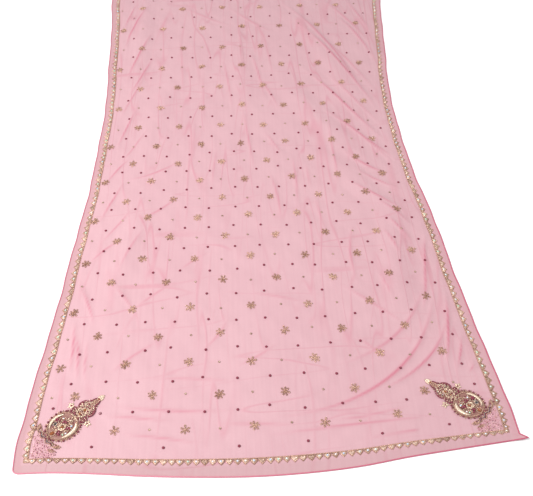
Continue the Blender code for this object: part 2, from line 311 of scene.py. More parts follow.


# ---- The ground: sheer crepe ------------------------------------------------------------------
# A thin shell on the laid form.  The dyed cloth lets the white below show through.  Where it is
# creased its pink is deeper, partly as cloth lying double and partly as painted shade, and its
# margins are darkened by painted shade.
ACROSS_PITCH = 0.0046
ALONG_PITCH = 0.0049
MARGIN_PAST = 0.004         # the margin's tints run this far in under the border
MARGIN_EASE = 0.006
SIDE_MARGIN_SHADE = 0.16          # painted shade: the side margins beyond the border are tinted deeper
SIDE_SHADE_STRENGTH = 0.30        # how strongly painted shade darkens each margin, and how much less at the right
SIDE_SHADE_FALL = 0.15
END_SHADE_STRENGTH = 0.60
END_SHADE_FALL = 0.35
NEAR_LEFT_SHADE = 0.28    # painted shade, so much more at the near left
NEAR_LEFT_SHADE_TO = 0.62           # up to here, passing off over the ease
NEAR_LEFT_SHADE_EASE = 0.30
CRINKLE_FROM = -1.00        # the near end's crinkles pass into the others between these places
CRINKLE_TO = -0.55
CRINKLES = (
    # size across, size along, turn, thinness, depth at the near end and beyond it
    (15.0, 2.2, 0.10, 48.0, 0.10, 0.44),
    (2.4, 17.0, 0.06, 50.0, 0.36, 0.34),
    (17.0, 2.0, -0.55, 50.0, 0.30, 0.44),
    (15.0, 1.8, 0.50, 50.0, 0.20, 0.38),
)
PALE_DYE = (0.632, 0.374, 0.407, 1)
FULL_DYE = (0.572, 0.320, 0.357, 1)
# the deeper pink of creases and crinkles: partly cloth lying double, partly painted shade
DOUBLED_AND_SHADED_DYE = (0.55, 0.175, 0.235, 1)
# painted shade on the margins: their dye is multiplied by this
MARGIN_SHADE_MULTIPLIER = (0.72, 0.72, 0.67, 1)
WARP_BANDS = (150.0, 3.0, 0)
CREPE_LOOKS = {
    "Roughness": 0.62,
    "Sheen Weight": 0.25,
    "Sheen Roughness": 0.4,
    "Alpha": 0.86,
}


def grid_faces(rows, columns):
    """Four-sided faces between neighbouring points of a grid."""
    index = np.arange(rows * columns).reshape(rows, columns)
    corners = (index[:-1, :-1], index[:-1, 1:], index[1:, 1:], index[1:, :-1])
    return np.stack(corners, axis=-1).reshape(-1, 4)


def add_layer(mesh, name, values):
    """A number for each point of a mesh, for its material to read by this name."""
    layer = mesh.attributes.new(name, "FLOAT", "POINT")
    layer.data.foreach_set("value", np.asarray(values, np.float32).ravel())


def make_mesh(name, points, faces, finishes, finish_of=None, winding=None, lot=None, facets=()):
    """A smooth mesh from arrays of points and of faces with a like number of corners each.

    finish_of is each face's place in finishes, winding each corner's turn and length, lot a
    number from 0 to 1 for each point, and facets the finishes whose faces stay flat.
    """
    mesh = bpy.data.meshes.new(name)
    mesh.vertices.add(len(points))
    mesh.vertices.foreach_set("co", np.asarray(points, np.float32).ravel())
    sizes = np.concatenate([np.full(len(group), group.shape[1]) for group in faces])
    corners = np.concatenate([group.ravel() for group in faces])
    mesh.loops.add(len(corners))
    mesh.loops.foreach_set("vertex_index", corners.astype(np.int32))
    mesh.polygons.add(len(sizes))
    starts = np.concatenate(([0], np.cumsum(sizes)[:-1]))
    mesh.polygons.foreach_set("loop_start", starts.astype(np.int32))
    for finish in finishes:
        mesh.materials.append(finish)
    smooth = np.ones(len(sizes), bool)
    if finish_of is not None:
        mesh.polygons.foreach_set("material_index", finish_of.astype(np.int32))
        smooth = ~np.isin(finish_of, facets)
    mesh.polygons.foreach_set("use_smooth", smooth)
    mesh.update(calc_edges=True)
    if winding is not None:
        layer = mesh.uv_layers.new(name="winding")
        layer.data.foreach_set("uv", winding.astype(np.float32).ravel())
    if lot is not None:
        add_layer(mesh, "lot", lot)
    made = bpy.data.objects.new(name, mesh)
    bpy.context.scene.collection.objects.link(made)
    return made


def new_material(name, looks):
    """A material with only its Principled shader, set as "looks" says, and that shader's node."""
    made = bpy.data.materials.new(name)
    made.use_nodes = True
    shader = made.node_tree.nodes["Principled BSDF"]
    for socket, value in looks.items():
        shader.inputs[socket].default_value = value
    return made, shader


across_stations = np.linspace(0, WIDTH, round(WIDTH / ACROSS_PITCH) + 1)
along_stations = np.linspace(0, LENGTH, round(LENGTH / ALONG_PITCH) + 1)
across_grid, along_grid = np.meshgrid(across_stations, along_stations)
ground_points = lay(across_grid, along_grid)
ground_crepe, shader = new_material("ground_crepe", CREPE_LOOKS)
ground = make_mesh(
    "ground", ground_points.reshape(-1, 3), [grid_faces(*across_grid.shape)], [ground_crepe]
)
from_left = across_grid / WIDTH
side_margin = BORDER_FROM_SIDE + MARGIN_PAST - np.minimum(across_grid, WIDTH - across_grid)
side_margin = np.clip(side_margin / MARGIN_EASE, 0, 1)
end_margin = BORDER_FROM_END + MARGIN_PAST - np.minimum(along_grid, LENGTH - along_grid)
end_margin = np.clip(end_margin / MARGIN_EASE, 0, 1)
# crease tint, partly cloth lying double and partly painted shade; painted shade on the side margins
tint = creased(across_grid, along_grid)[1] * open_ground(across_grid, along_grid, SMALL_EASE)
add_layer(ground.data, "crease", np.maximum(tint, SIDE_MARGIN_SHADE * side_margin))
# painted shade on the margins: less toward the right, most at the near left
near_left = np.clip((NEAR_LEFT_SHADE_TO - along_grid) / NEAR_LEFT_SHADE_EASE, 0, 1) * (1 - from_left)
at_sides = SIDE_SHADE_STRENGTH - SIDE_SHADE_FALL * from_left + NEAR_LEFT_SHADE * near_left
at_ends = END_SHADE_STRENGTH - END_SHADE_FALL * from_left
add_layer(ground.data, "painted_margin_shade", np.maximum(side_margin * at_sides, end_margin * at_ends))


def join(tree, value, socket):
    """Another socket joined to a socket, or a number or colour put in it."""
    if isinstance(value, bpy.types.NodeSocket):
        tree.links.new(value, socket)
    else:
        socket.default_value = value


def add_node(tree, kind, inputs, **settings):
    """The outputs of a new shader node, with its settings, and its inputs joined or put in."""
    made = tree.nodes.new("ShaderNode" + kind)
    for name, value in settings.items():
        setattr(made, name, value)
    for name, value in inputs.items():
        join(tree, value, made.inputs[name])
    return made.outputs


def maths(tree, operation, *values, clamp=False):
    """A sum on sockets or numbers."""
    return add_node(tree, "Math", dict(enumerate(values)), operation=operation, use_clamp=clamp)[0]


def noise(tree, place, scale, detail=2.0):
    """Smooth noise, from 0 to 1, at a place."""
    return add_node(tree, "TexNoise", {"Vector": place, "Scale": scale, "Detail": detail})["Fac"]


def read_layer(tree, name):
    """The number that the mesh's points carry by this name."""
    return add_node(tree, "Attribute", {}, attribute_name=name)["Fac"]


def mixed(tree, share, first, second, blend="MIX"):
    """A colour between two, or the first one multiplied by the second."""
    inputs = {"Factor": share, "A": first, "B": second}
    return add_node(tree, "Mix", inputs, data_type="RGBA", blend_type=blend)["Result"]


def bumped(tree, height, strength, distance, **under):
    """The normal of a surface raised by a height, over the normal under it if one is given."""
    inputs = {"Strength": strength, "Distance": distance, "Height": height}
    return add_node(tree, "Bump", inputs | under)["Normal"]


def crinkled(tree, place, size_across, size_along, turn, thinness, near_depth, depth):
    """Thin broken lines: depth * (1 - thinness * |noise - 0.5|), where a second noise is high."""
    sized = add_node(tree, "Mapping", {
        "Vector": place, "Rotation": (0, 0, turn), "Scale": (size_across, size_along, 0),
    })["Vector"]
    elsewhere = add_node(tree, "VectorMath", {0: sized, 1: (7.3, 3.1, 5.7)})["Vector"]
    off = maths(tree, "ABSOLUTE", maths(tree, "SUBTRACT", noise(tree, sized, 1.0, 1.0), 0.5))
    thin = maths(tree, "SUBTRACT", 1.0, maths(tree, "MULTIPLY", off, thinness), clamp=True)
    held = maths(tree, "MULTIPLY_ADD", noise(tree, elsewhere, 0.9), 7.0, -3.3, clamp=True)
    deeper = add_node(tree, "MapRange", {
        "Value": add_node(tree, "SeparateXYZ", {"Vector": place})["Y"],
        "From Min": CRINKLE_FROM, "From Max": CRINKLE_TO, "To Min": near_depth, "To Max": depth,
    })["Result"]
    return maths(tree, "MULTIPLY", maths(tree, "MULTIPLY", thin, held), deeper)


tree = ground_crepe.node_tree
place = add_node(tree, "TexCoord", {})["Object"]
bands = add_node(tree, "Mapping", {"Vector": place, "Scale": WARP_BANDS})["Vector"]
cloud = maths(tree, "SUBTRACT", noise(tree, place, 7.0, 3.0), 0.45)
strength = maths(tree, "MULTIPLY_ADD", noise(tree, bands, 1.0), 0.9, cloud)
dye = mixed(tree, strength, FULL_DYE, PALE_DYE)
crinkle, *others = (crinkled(tree, place, *row) for row in CRINKLES)
for lines in others:
    crinkle = maths(tree, "MAXIMUM", crinkle, lines)
# deeper pink in creases and crinkles, partly cloth lying double and partly painted shade
doubled_and_shaded = maths(tree, "MAXIMUM", read_layer(tree, "crease"), crinkle)
dye = mixed(tree, doubled_and_shaded, dye, DOUBLED_AND_SHADED_DYE)
# painted shade: the margins' dye is multiplied darker
dye = mixed(tree, read_layer(tree, "painted_margin_shade"), dye, MARGIN_SHADE_MULTIPLIER, "MULTIPLY")
join(tree, dye, shader.inputs["Base Color"])
grain = bumped(tree, noise(tree, place, 900.0), 0.25, 0.0004)
join(tree, bumped(tree, crinkle, 0.6, 0.0015, Normal=grain), shader.inputs["Normal"])
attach(ground, "root")
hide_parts("ground_panel")

# ---- The rolled hem ---------------------------------------------------------------------------
# The cloth's edge is rolled under and closely overcast with a deeper pink thread.  One tube runs
# round all four edges, and the overcasting winds about it.
HEM_RADIUS = 0.0014
HEM_SIDES = 8
HEM_STEP = 0.004
HEM_THREAD = ((0.52, 0.09, 0.16), (0.76, 0.31, 0.38))
OVERCASTING = (0.0016, 1.0, 0.0004)     # pitch, turns of lean, depth
THREAD_BUMP = 0.6


def tube_faces(rings, sides, lengths, closed):
    """Faces round a tube of rings, with caps on open ends, and each corner's turn and length."""
    index = np.arange(rings * sides).reshape(rings, sides)
    index = np.concatenate((index, index[:, :1]), axis=1)
    if closed:
        index = np.concatenate((index, index[:1]), axis=0)
    turn, length = np.meshgrid(np.arange(sides + 1) / sides, lengths)
    place = np.stack((turn, length), axis=-1)
    faces = np.stack((index[:-1, :-1], index[:-1, 1:], index[1:, 1:], index[1:, :-1]), -1)
    corners = np.stack((place[:-1, :-1], place[:-1, 1:], place[1:, 1:], place[1:, :-1]), 2)
    groups = [(faces.reshape(-1, 4), corners.reshape(-1, 4, 2))]
    if not closed:
        caps = np.stack((index[0, sides - 1::-1], index[-1, :sides]))
        groups.append((caps, np.zeros((2, sides, 2))))
    return groups


def wound(path, radius, sides=6, closed=False, flatten=1.0):
    """A round section carried along a path that lies nearly flat.

    point = path + radius * (aside * cos(turn) + up * flatten * sin(turn)), where aside is square
    to the path on the flat.
    """
    path = np.asarray(path, float)
    if closed:
        run = np.roll(path, -1, axis=0) - np.roll(path, 1, axis=0)
        steps = np.linalg.norm(np.roll(path, -1, axis=0) - path, axis=1)
    else:
        run = np.gradient(path, axis=0)
        steps = np.linalg.norm(np.diff(path, axis=0), axis=1)
    aside = np.stack((-run[:, 1], run[:, 0], np.zeros(len(run))), axis=1)
    aside /= np.linalg.norm(aside, axis=1, keepdims=True)
    turn = np.arange(sides)[:, None] * 2 * math.pi / sides
    ring = aside[:, None] * np.cos(turn) + np.array((0, 0, flatten)) * np.sin(turn)
    points = path[:, None] + np.broadcast_to(radius, len(path))[:, None, None] * ring
    lengths = np.concatenate(([0], np.cumsum(steps)))
    return points.reshape(-1, 3), tube_faces(len(path), sides, lengths, closed)


def new_group(name, inputs, output):
    """A node group with named sockets of given kinds, the sockets it is given, and its way out."""
    tree = bpy.data.node_groups.new(name, "ShaderNodeTree")
    for socket, kind in inputs.items():
        tree.interface.new_socket(name=socket, in_out="INPUT", socket_type="NodeSocket" + kind)
    tree.interface.new_socket(name=output[0], in_out="OUTPUT", socket_type="NodeSocket" + output[1])
    return tree, tree.nodes.new("NodeGroupInput").outputs, tree.nodes.new("NodeGroupOutput").inputs


# thread or wire wound about a piece: height = sin(2 pi * (length / pitch + lean * turn))
winding_group, given, out = new_group(
    "thread_winding", {"Pitch": "Float", "Lean": "Float"}, ("Height", "Float")
)
corner = add_node(winding_group, "UVMap", {}, uv_map="winding")["UV"]
corner = add_node(winding_group, "SeparateXYZ", {"Vector": corner})
coils = maths(winding_group, "DIVIDE", corner["Y"], given["Pitch"])
leaning = maths(winding_group, "MULTIPLY", corner["X"], given["Lean"])
angle = maths(winding_group, "MULTIPLY", maths(winding_group, "ADD", coils, leaning), 2 * math.pi)
join(winding_group, maths(winding_group, "SINE", angle), out["Height"])

# a colour between two, by the lot that each small piece comes from
lot_group, given, out = new_group(
    "lot_colour", {"Darker": "Color", "Lighter": "Color"}, ("Color", "Color")
)
lot = read_layer(lot_group, "lot")
join(lot_group, mixed(lot_group, lot, given["Darker"], given["Lighter"]), out["Color"])


def thread_finish(name, colours, looks, winding=None):
    """A material whose colour goes by lot, and whose thread may be wound: pitch, lean, depth."""
    made, shader = new_material(name, looks)
    tree = made.node_tree
    values = {"Darker": (*colours[0], 1), "Lighter": (*colours[1], 1)}
    colour = add_node(tree, "Group", values, node_tree=lot_group)["Color"]
    join(tree, colour, shader.inputs["Base Color"])
    if winding is not None:
        pitch, lean, depth = winding
        values = {"Pitch": pitch, "Lean": lean}
        height = add_node(tree, "Group", values, node_tree=winding_group)["Height"]
        join(tree, bumped(tree, height, THREAD_BUMP, depth), shader.inputs["Normal"])
    return made


hem_thread = thread_finish(
    "hem_thread", HEM_THREAD, {"Roughness": 0.65, "Sheen Weight": 0.3}, OVERCASTING
)
across_run = np.linspace(0, WIDTH, round(WIDTH / HEM_STEP))
along_run = np.linspace(0, LENGTH, round(LENGTH / HEM_STEP))
cut_path = np.concatenate((
    np.stack((across_run[:-1], np.zeros(len(across_run) - 1)), 1),
    np.stack((np.full(len(along_run) - 1, WIDTH), along_run[:-1]), 1),
    np.stack((across_run[:0:-1], np.full(len(across_run) - 1, LENGTH)), 1),
    np.stack((np.zeros(len(along_run) - 1), along_run[:0:-1]), 1),
))
hem_path = lay(cut_path[:, 0], cut_path[:, 1], -CLOTH_WALL + HEM_RADIUS)
points, groups = wound(hem_path, HEM_RADIUS, HEM_SIDES, closed=True)
# the thread is paler along the near hem's left part, and toward the left hem everywhere
paler = np.clip(1 - cut_path[:, 1] / 0.05, 0, 1) * np.clip(1.6 - 2.2 * cut_path[:, 0], 0, 1)
paler = np.maximum(0.65 * paler, 0.55 * (1 - cut_path[:, 0] / WIDTH))
hem = make_mesh(
    "hem", points, [groups[0][0]], [hem_thread], winding=groups[0][1],
    lot=np.repeat(paler, HEM_SIDES),
)
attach(hem, "root")
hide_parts("hem_near", "hem_far", "hem_left", "hem_right")

# ---- The scalloped border ---------------------------------------------------------------------
# A row of small hearts of coiled gilt wire, points outward, couched over a padded satin filling.
# A straight gilt cord joins their tops, and most of them hold a small clear stone.
HEART_PITCH_ENDS = 0.0155
HEART_PITCH_SIDES = 0.0182
HEART_FILL = 0.92           # a heart's width, as a share of the pitch
HEART_DEPTH = 0.0122
HEART_TURN = 0.05           # how unevenly the hearts are turned and sized
HEART_UNEVEN = 0.03
RIM_POINTS = 14
FILLING_POINTS = 12
WIRE_RADIUS = 0.0009
CORD_RADIUS = 0.0008
CORD_STEP = 0.0045
STONE_RADIUS = 0.0021
STONE_SHARE = 0.72          # of the hearts, how many hold a stone
PURL = (0.0007, 1.0, 0.00025)           # coiled wire: pitch, turns of lean, depth
SATIN_THREAD = (0.0009, 1.0, 0.0002)
PAINTED_SHEENS = (
    # lot, colour: painted reflection, each clear stone's base colour is the tint its coating throws
    # back
    (0.0, (0.90, 0.93, 1.00)), (0.25, (0.45, 0.66, 0.92)), (0.45, (0.86, 0.96, 0.90)),
    (0.65, (0.50, 0.80, 0.58)), (0.85, (0.88, 0.80, 0.95)), (1.0, (0.95, 0.90, 0.80)),
)
SATIN_FINISH, PURL_FINISH, STONE_FINISH = range(3)


class Needlework:
    """Points, faces and finishes of many small pieces, to be joined in one mesh."""

    def __init__(self):
        self.count = 0
        self.points, self.faces, self.winding, self.finish, self.lot = [], [], [], [], []

    def add(self, points, groups, finish, lot=0.5):
        """Copies of one shape: points has a row of points for each copy."""
        copies, each = points.shape[:2]
        first = self.count + each * np.arange(copies)[:, None, None]
        for faces, winding in groups:
            self.faces.append((faces + first).reshape(-1, faces.shape[1]))
            self.winding.append(np.tile(winding, (copies, 1, 1)).reshape(-1, 2))
            self.finish.append(np.full(copies * len(faces), finish))
        self.points.append(points.reshape(-1, 3))
        self.lot.append(np.repeat(np.broadcast_to(lot, copies), each))
        self.count += copies * each

    def turn_about(self):
        """All the faces turned about, after a mirroring."""
        self.faces = [faces[:, ::-1] for faces in self.faces]
        self.winding = [
            winding.reshape(len(faces), -1, 2)[:, ::-1].reshape(-1, 2)
            for faces, winding in zip(self.faces, self.winding)
        ]

    def sew(self, name, finishes, facets):
        """The mesh of all the pieces, riding on the stole."""
        made = make_mesh(
            name, np.concatenate(self.points), self.faces, finishes,
            np.concatenate(self.finish), np.concatenate(self.winding),
            np.concatenate(self.lot), facets,
        )
        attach(made, "root")
        return made


def raised(outline, scales, heights):
    """A solid on a flat outline: a ring at each height, the outline times that ring's scale."""
    outline = np.asarray(outline)
    rings = [np.column_stack((outline * scale, np.full(len(outline), height)))
             for scale, height in zip(scales, heights)]
    reach = np.abs(outline).max()
    steps = np.hypot(np.diff(scales) * reach, np.diff(heights))
    lengths = np.concatenate(([0], np.cumsum(steps)))
    return np.concatenate(rings), tube_faces(len(rings), len(outline), lengths, False)


def circle(sides, wide=1.0, deep=1.0):
    """Points round an ellipse, counter-clockwise."""
    turn = np.arange(sides) * 2 * math.pi / sides
    return np.stack((wide * np.cos(turn), deep * np.sin(turn)), axis=1)


def bead(radius, sides=8):
    """A round bead sunk a little in the cloth: rings of a sphere."""
    turn = np.linspace(-1.1, 1.35, 5)
    return raised(circle(sides), radius * np.cos(turn), radius * (0.75 + np.sin(turn)))


def cut_stone(radius, sides=8, wide=1.0):
    """A flat-backed cut stone: a short girdle, a slanting crown and a table."""
    heights = radius * np.array((0.0, 0.35, 0.85))
    return raised(circle(sides, wide), radius * np.array((0.95, 1.0, 0.5)), heights)


def drawn_in(along):
    """How much of its cut size the laid cloth has there, across and along."""
    sides = smooth_through(along, SECTIONS[0], SECTIONS[2] + SECTIONS[3]) / WIDTH
    behind, ahead = np.clip(along - 0.01, 0, LENGTH), np.clip(along + 0.01, 0, LENGTH)
    laid = smooth_through(np.stack((behind, ahead)), SECTIONS[0], SECTIONS[1])
    return sides, (laid[1] - laid[0]) / (ahead - behind)


def copies(points, places, turn=0.0, size=1.0):
    """Copies of a small stiff shape on the flat: place + size * the shape, turned."""
    places = np.asarray(places, float)
    turn = np.broadcast_to(turn, len(places))[:, None]
    size = np.broadcast_to(size, len(places))[:, None]
    x = places[:, :1] + size * (points[:, 0] * np.cos(turn) - points[:, 1] * np.sin(turn))
    y = places[:, 1:] + size * (points[:, 0] * np.sin(turn) + points[:, 1] * np.cos(turn))
    return np.stack((x, y, size * points[:, 2]), axis=-1)


def on_cloth(points, places, turn=0.0, size=1.0):
    """Such copies at places of the cut, kept to their true size where the cloth is drawn in."""
    placed = copies(points, places, turn, size)
    share_across, share_along = drawn_in(places[:, 1:])
    across = places[:, :1] + (placed[..., 0] - places[:, :1]) / share_across
    along = places[:, 1:] + (placed[..., 1] - places[:, 1:]) / share_along
    return lay(across, along, placed[..., 2])


def gilt(name, darker, lighter, roughness, winding):
    """Gilt wire or thread: metal, its shade varied by lot, with its winding as a bump."""
    looks = {"Metallic": 0.6, "Roughness": roughness}
    return thread_finish(name, (darker, lighter), looks, winding)


def heart_outline(points, width):
    """A heart, its notch at 0 and its point at HEART_DEPTH: sine cubed across, cosines along."""
    t = np.arange(points) * 2 * math.pi / points
    curve = 13 * np.cos(t) - 5 * np.cos(2 * t) - 2 * np.cos(3 * t) - np.cos(4 * t)
    return np.stack((width / 2 * np.sin(t) ** 3, (12 - curve) / 29 * HEART_DEPTH), axis=1)


gilt_purl = gilt("gilt_purl", (0.50, 0.285, 0.205), (0.78, 0.51, 0.385), 0.34, PURL)
gilt_satin = gilt("gilt_satin", (0.46, 0.30, 0.235), (0.78, 0.56, 0.45), 0.38, SATIN_THREAD)
clear_stone, shader = new_material(
    "clear_stone", {"Metallic": 0.25, "Roughness": 0.08, "Coat Weight": 0.8}
)
tree = clear_stone.node_tree
# painted reflection: each clear stone's base colour is a tint its coating throws back, by lot
sheen = add_node(tree, "ValToRGB", {"Fac": read_layer(tree, "lot")})["Color"]
join(tree, sheen, shader.inputs["Base Color"])
stops = sheen.node.color_ramp.elements
for number, (position, colour) in enumerate(PAINTED_SHEENS):
    stop = stops[number] if number < len(stops) else stops.new(position)
    stop.position = position
    stop.color = (*colour, 1)
BORDER_FINISHES = [gilt_satin, gilt_purl, clear_stone]

rng = np.random.default_rng(7)
side_inner = BORDER_FROM_SIDE + BORDER_DEPTH
end_inner = BORDER_FROM_END + BORDER_DEPTH
near_left_corner, near_right_corner = (side_inner, end_inner), (WIDTH - side_inner, end_inner)
far_left_corner = (side_inner, LENGTH - end_inner)
far_right_corner = (WIDTH - side_inner, LENGTH - end_inner)
BORDER_SIDES = (
    # name, from, to, outward turn, turn at the run's two corners, pitch
    ("near", near_left_corner, near_right_corner, math.pi, math.pi * 3 / 4, HEART_PITCH_ENDS),
    ("far", far_left_corner, far_right_corner, 0.0, math.pi / 4, HEART_PITCH_ENDS),
    ("left", near_left_corner, far_left_corner, math.pi / 2, None, HEART_PITCH_SIDES),
    ("right", near_right_corner, far_right_corner, -math.pi / 2, None, HEART_PITCH_SIDES),
)
for side_name, start, end, outward, corner_turn, pitch in BORDER_SIDES:
    border = Needlework()
    run = np.array(end) - start
    span = math.hypot(*run)
    hearts = round(span / pitch)
    places = np.array(start) + run * ((np.arange(hearts) + 0.5) / hearts)[:, None]
    if corner_turn is not None:
        places = np.concatenate((places, (start, end)))
        outward = np.concatenate((np.full(hearts, outward), (corner_turn, -corner_turn)))
        hearts += 2
    turn = outward + rng.normal(0, HEART_TURN, hearts)
    size = rng.normal(1.0, HEART_UNEVEN, hearts)
    # the wire round the heart
    width = HEART_FILL * pitch
    rim = np.column_stack((heart_outline(RIM_POINTS, width), np.full(RIM_POINTS, WIRE_RADIUS)))
    points, groups = wound(rim, WIRE_RADIUS, sides=4, closed=True)
    border.add(on_cloth(points, places, turn, size), groups, PURL_FINISH, rng.random(hearts))
    # the padded filling
    middle = np.array((0.0, 0.45 * HEART_DEPTH))
    points, groups = raised(
        heart_outline(FILLING_POINTS, width) - middle,
        (0.92, 0.85, 0.5, 0.15), (0.0, 0.0009, 0.0017, 0.0019),
    )
    points[:, :2] += middle
    border.add(on_cloth(points, places, turn, size), groups, SATIN_FINISH, rng.random(hearts))
    # the stone
    held = rng.random(hearts) < STONE_SHARE
    points, groups = cut_stone(STONE_RADIUS)
    points += (0.0, 0.38 * HEART_DEPTH, 0.0015)
    stones = on_cloth(points, places[held], turn[held], size[held])
    border.add(stones, groups, STONE_FINISH, rng.random(held.sum()))
    # the cord along the hearts' tops
    cord = np.array(start)[:, None] + run[:, None] * np.linspace(0, 1, round(span / CORD_STEP))
    points, groups = wound(lay(*cord, CORD_RADIUS), CORD_RADIUS)
    border.add(points[None], groups, PURL_FINISH, 0.4)
    piece = border.sew(
        "border_" + side_name + "_work", BORDER_FINISHES, (STONE_FINISH,)
    )
    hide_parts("border_" + side_name)

# ---- The sprigs, spangles and garnet beads of the ground --------------------------------------
# Sprigs stand in rows, every other row set half a repeat over.  Each petal is a narrow loop of
# coiled gilt wire.  Between them lie gilt spangles, and halfway between the rows garnet beads.
ROWS = 27
ROW_PLACES = np.array((
    # row, along: the rows are worked wider apart beyond the middle
    (0, 0.104),
    (5, 0.478),
    (10, 0.830),
    (14, 1.144),
    (17, 1.424),
    (19, 1.636),
    (22, 1.905),
    (26, 2.176),
)).T
REPEAT = 0.1384
ODD_ROWS_FROM, EVEN_ROWS_FROM = 0.045, 0.114    # the first sprig of a row, from the left hem
PETAL_INNER = 0.0012
PETAL_OUTER = 0.0100
PETAL_WIDTH = 0.0029
PETAL_WIRE = 0.00080
SPRIG_PETALS = ((6, 0.35), (7, 0.65))           # petals, and how many sprigs have so many
PETAL_TURN = 0.09           # how unevenly the petals are turned, sized and shaded
PETAL_UNEVEN = 0.07
PETAL_SHADE = 0.2
SPRIG_SPREAD = 0.0030       # how far each is set off its place by hand
GARNET_SPREAD = 0.0035
SPANGLE_RADIUS = 0.0026
GARNET_RADIUS = 0.0032
MOTIF_CENTRE = (0.081, 0.114)   # a corner motif's round head, from the side and end hems
MOTIF_LEAN = math.radians(43.0)
MOTIF_REACH = 0.098             # from the head's centre to the leaf tip
MOTIF_BACK = -0.03              # and back to the wavy band
HEAD_CLEARANCE = 0.036          # nothing else is worked so near the motif's axis
NECK_FROM = 0.045
NECK_CLEARANCE = 0.018          # nor, from the neck on, so near
CLEARED_END = 0.11              # of the sprigs in rows, none stand so near an end
CLEARED_SIDE = 0.135            # and so near a side
CROWDED = 0.04                  # and none so near the sprigs beside the motifs
CORNER_SPRIGS = np.array((
    # across, along: the sprigs beside the corner motifs stand where there is room
    (0.092, 0.184),
    (0.810, 0.158),
    (0.096, LENGTH - 0.182),
    (0.812, LENGTH - 0.160),
))
CORNER_GARNETS = np.array((
    (0.053, 0.158),
    (0.917, 0.166),
    (0.055, LENGTH - 0.160),
    (0.915, LENGTH - 0.162),
))
SPRIG, SPANGLE, GARNET = range(3)


def rows_of(start, columns, first):
    """Places in every second row from row "first", each start + REPEAT * column across."""
    rows = np.arange(first, ROWS - 0.4, 2)
    column, row = np.meshgrid(np.arange(columns), rows)
    beyond = np.clip(rows, 0, ROWS - 1) - rows
    end_step = ROW_PLACES[1, 1] / 5 - ROW_PLACES[1, 0] / 5
    along = smooth_through(row, *ROW_PLACES) - end_step * np.repeat(beyond[:, None], columns, 1)
    return np.stack((start + REPEAT * column.ravel(), along.ravel()), axis=1)


def by_hand(places, spread):
    """The places clear of the corner motifs, each a little off, as worked by hand."""
    side = np.minimum(places[:, 0], WIDTH - places[:, 0]) - MOTIF_CENTRE[0]
    end = np.minimum(places[:, 1], LENGTH - places[:, 1]) - MOTIF_CENTRE[1]
    along_axis = side * math.cos(MOTIF_LEAN) + end * math.sin(MOTIF_LEAN)
    aside = end * math.cos(MOTIF_LEAN) - side * math.sin(MOTIF_LEAN)
    away = np.hypot(along_axis - np.clip(along_axis, MOTIF_BACK, MOTIF_REACH), aside)
    clear = (away > HEAD_CLEARANCE) | ((along_axis > NECK_FROM) & (away > NECK_CLEARANCE))
    return places[clear] + rng.normal(0, spread, (clear.sum(), 2))


sprig_places = np.concatenate((rows_of(ODD_ROWS_FROM, 7, 0), rows_of(EVEN_ROWS_FROM, 6, 1)))
at_an_end = np.minimum(sprig_places[:, 1], LENGTH - sprig_places[:, 1]) < CLEARED_END
at_a_side = np.minimum(sprig_places[:, 0], WIDTH - sprig_places[:, 0]) < CLEARED_SIDE
crowded = np.linalg.norm(sprig_places[:, None] - CORNER_SPRIGS, axis=2).min(axis=1) < CROWDED
sprig_places = by_hand(sprig_places[~(at_an_end & at_a_side | crowded)], SPRIG_SPREAD)
sprig_places = np.concatenate((sprig_places, CORNER_SPRIGS))
turn = np.linspace(0, math.pi, 10)
reach = PETAL_INNER + (PETAL_OUTER - PETAL_INNER) * np.sin(turn) ** 0.8
loop = np.stack((PETAL_WIDTH / 2 * np.sin(2 * turn), reach, np.full(10, PETAL_WIRE)), axis=1)
petal_points, petal_groups = wound(loop, PETAL_WIRE, sides=5)
ground_work = Needlework()
petals = rng.choice([row[0] for row in SPRIG_PETALS], len(sprig_places),
                    p=[row[1] for row in SPRIG_PETALS])
facing = rng.random(len(sprig_places)) * 2 * math.pi
lots = rng.random(len(sprig_places))
for count, _ in SPRIG_PETALS:
    chosen = petals == count
    for petal in range(count):
        worked = chosen.sum()
        swing = facing[chosen] + petal * 2 * math.pi / count + rng.normal(0, PETAL_TURN, worked)
        size = rng.normal(1.0, PETAL_UNEVEN, worked)
        shade = np.clip(lots[chosen] + rng.normal(0, PETAL_SHADE, worked), 0, 1)
        petal_copies = on_cloth(petal_points, sprig_places[chosen], swing, size)
        ground_work.add(petal_copies, petal_groups, SPRIG, shade)
points, groups = bead(0.0016, 6)
ground_work.add(on_cloth(points, sprig_places), groups, SPRIG, lots)

spangle_places = by_hand(
    np.concatenate((rows_of(EVEN_ROWS_FROM, 6, 0), rows_of(ODD_ROWS_FROM, 7, 1))), SPRIG_SPREAD
)
points, groups = raised(
    circle(8, SPANGLE_RADIUS, SPANGLE_RADIUS), (0.9, 1.0, 0.45), (0.0, 0.0010, 0.0004)
)
shade = 0.6 * rng.random(len(spangle_places))
ground_work.add(on_cloth(points, spangle_places), groups, SPANGLE, shade)
points, groups = bead(0.0008, 6)
points[:, 2] += 0.0006
ground_work.add(on_cloth(points, spangle_places), groups, SPANGLE, shade)

quarter = REPEAT / 4
garnet_places = by_hand(np.concatenate((
    rows_of(ODD_ROWS_FROM + quarter, 7, 0.5),
    rows_of(ODD_ROWS_FROM + quarter * 3, 6, -0.5),
    rows_of(ODD_ROWS_FROM + quarter, 7, 1.5),
    rows_of(ODD_ROWS_FROM + quarter * 3, 6, 0.5),
)), GARNET_SPREAD)
garnet_places = np.concatenate((garnet_places, CORNER_GARNETS))
points, groups = cut_stone(GARNET_RADIUS, 6)
garnet_turn = rng.random(len(garnet_places)) * math.pi
ground_work.add(on_cloth(points, garnet_places, garnet_turn), groups, GARNET, 0.4)
garnet_glass = thread_finish(
    "garnet_glass", ((0.15, 0.020, 0.035), (0.30, 0.060, 0.095)), {"Roughness": 0.16}
)
ground_work.sew(
    "ground_work", [gilt_purl, gilt_satin, garnet_glass], (GARNET,)
)

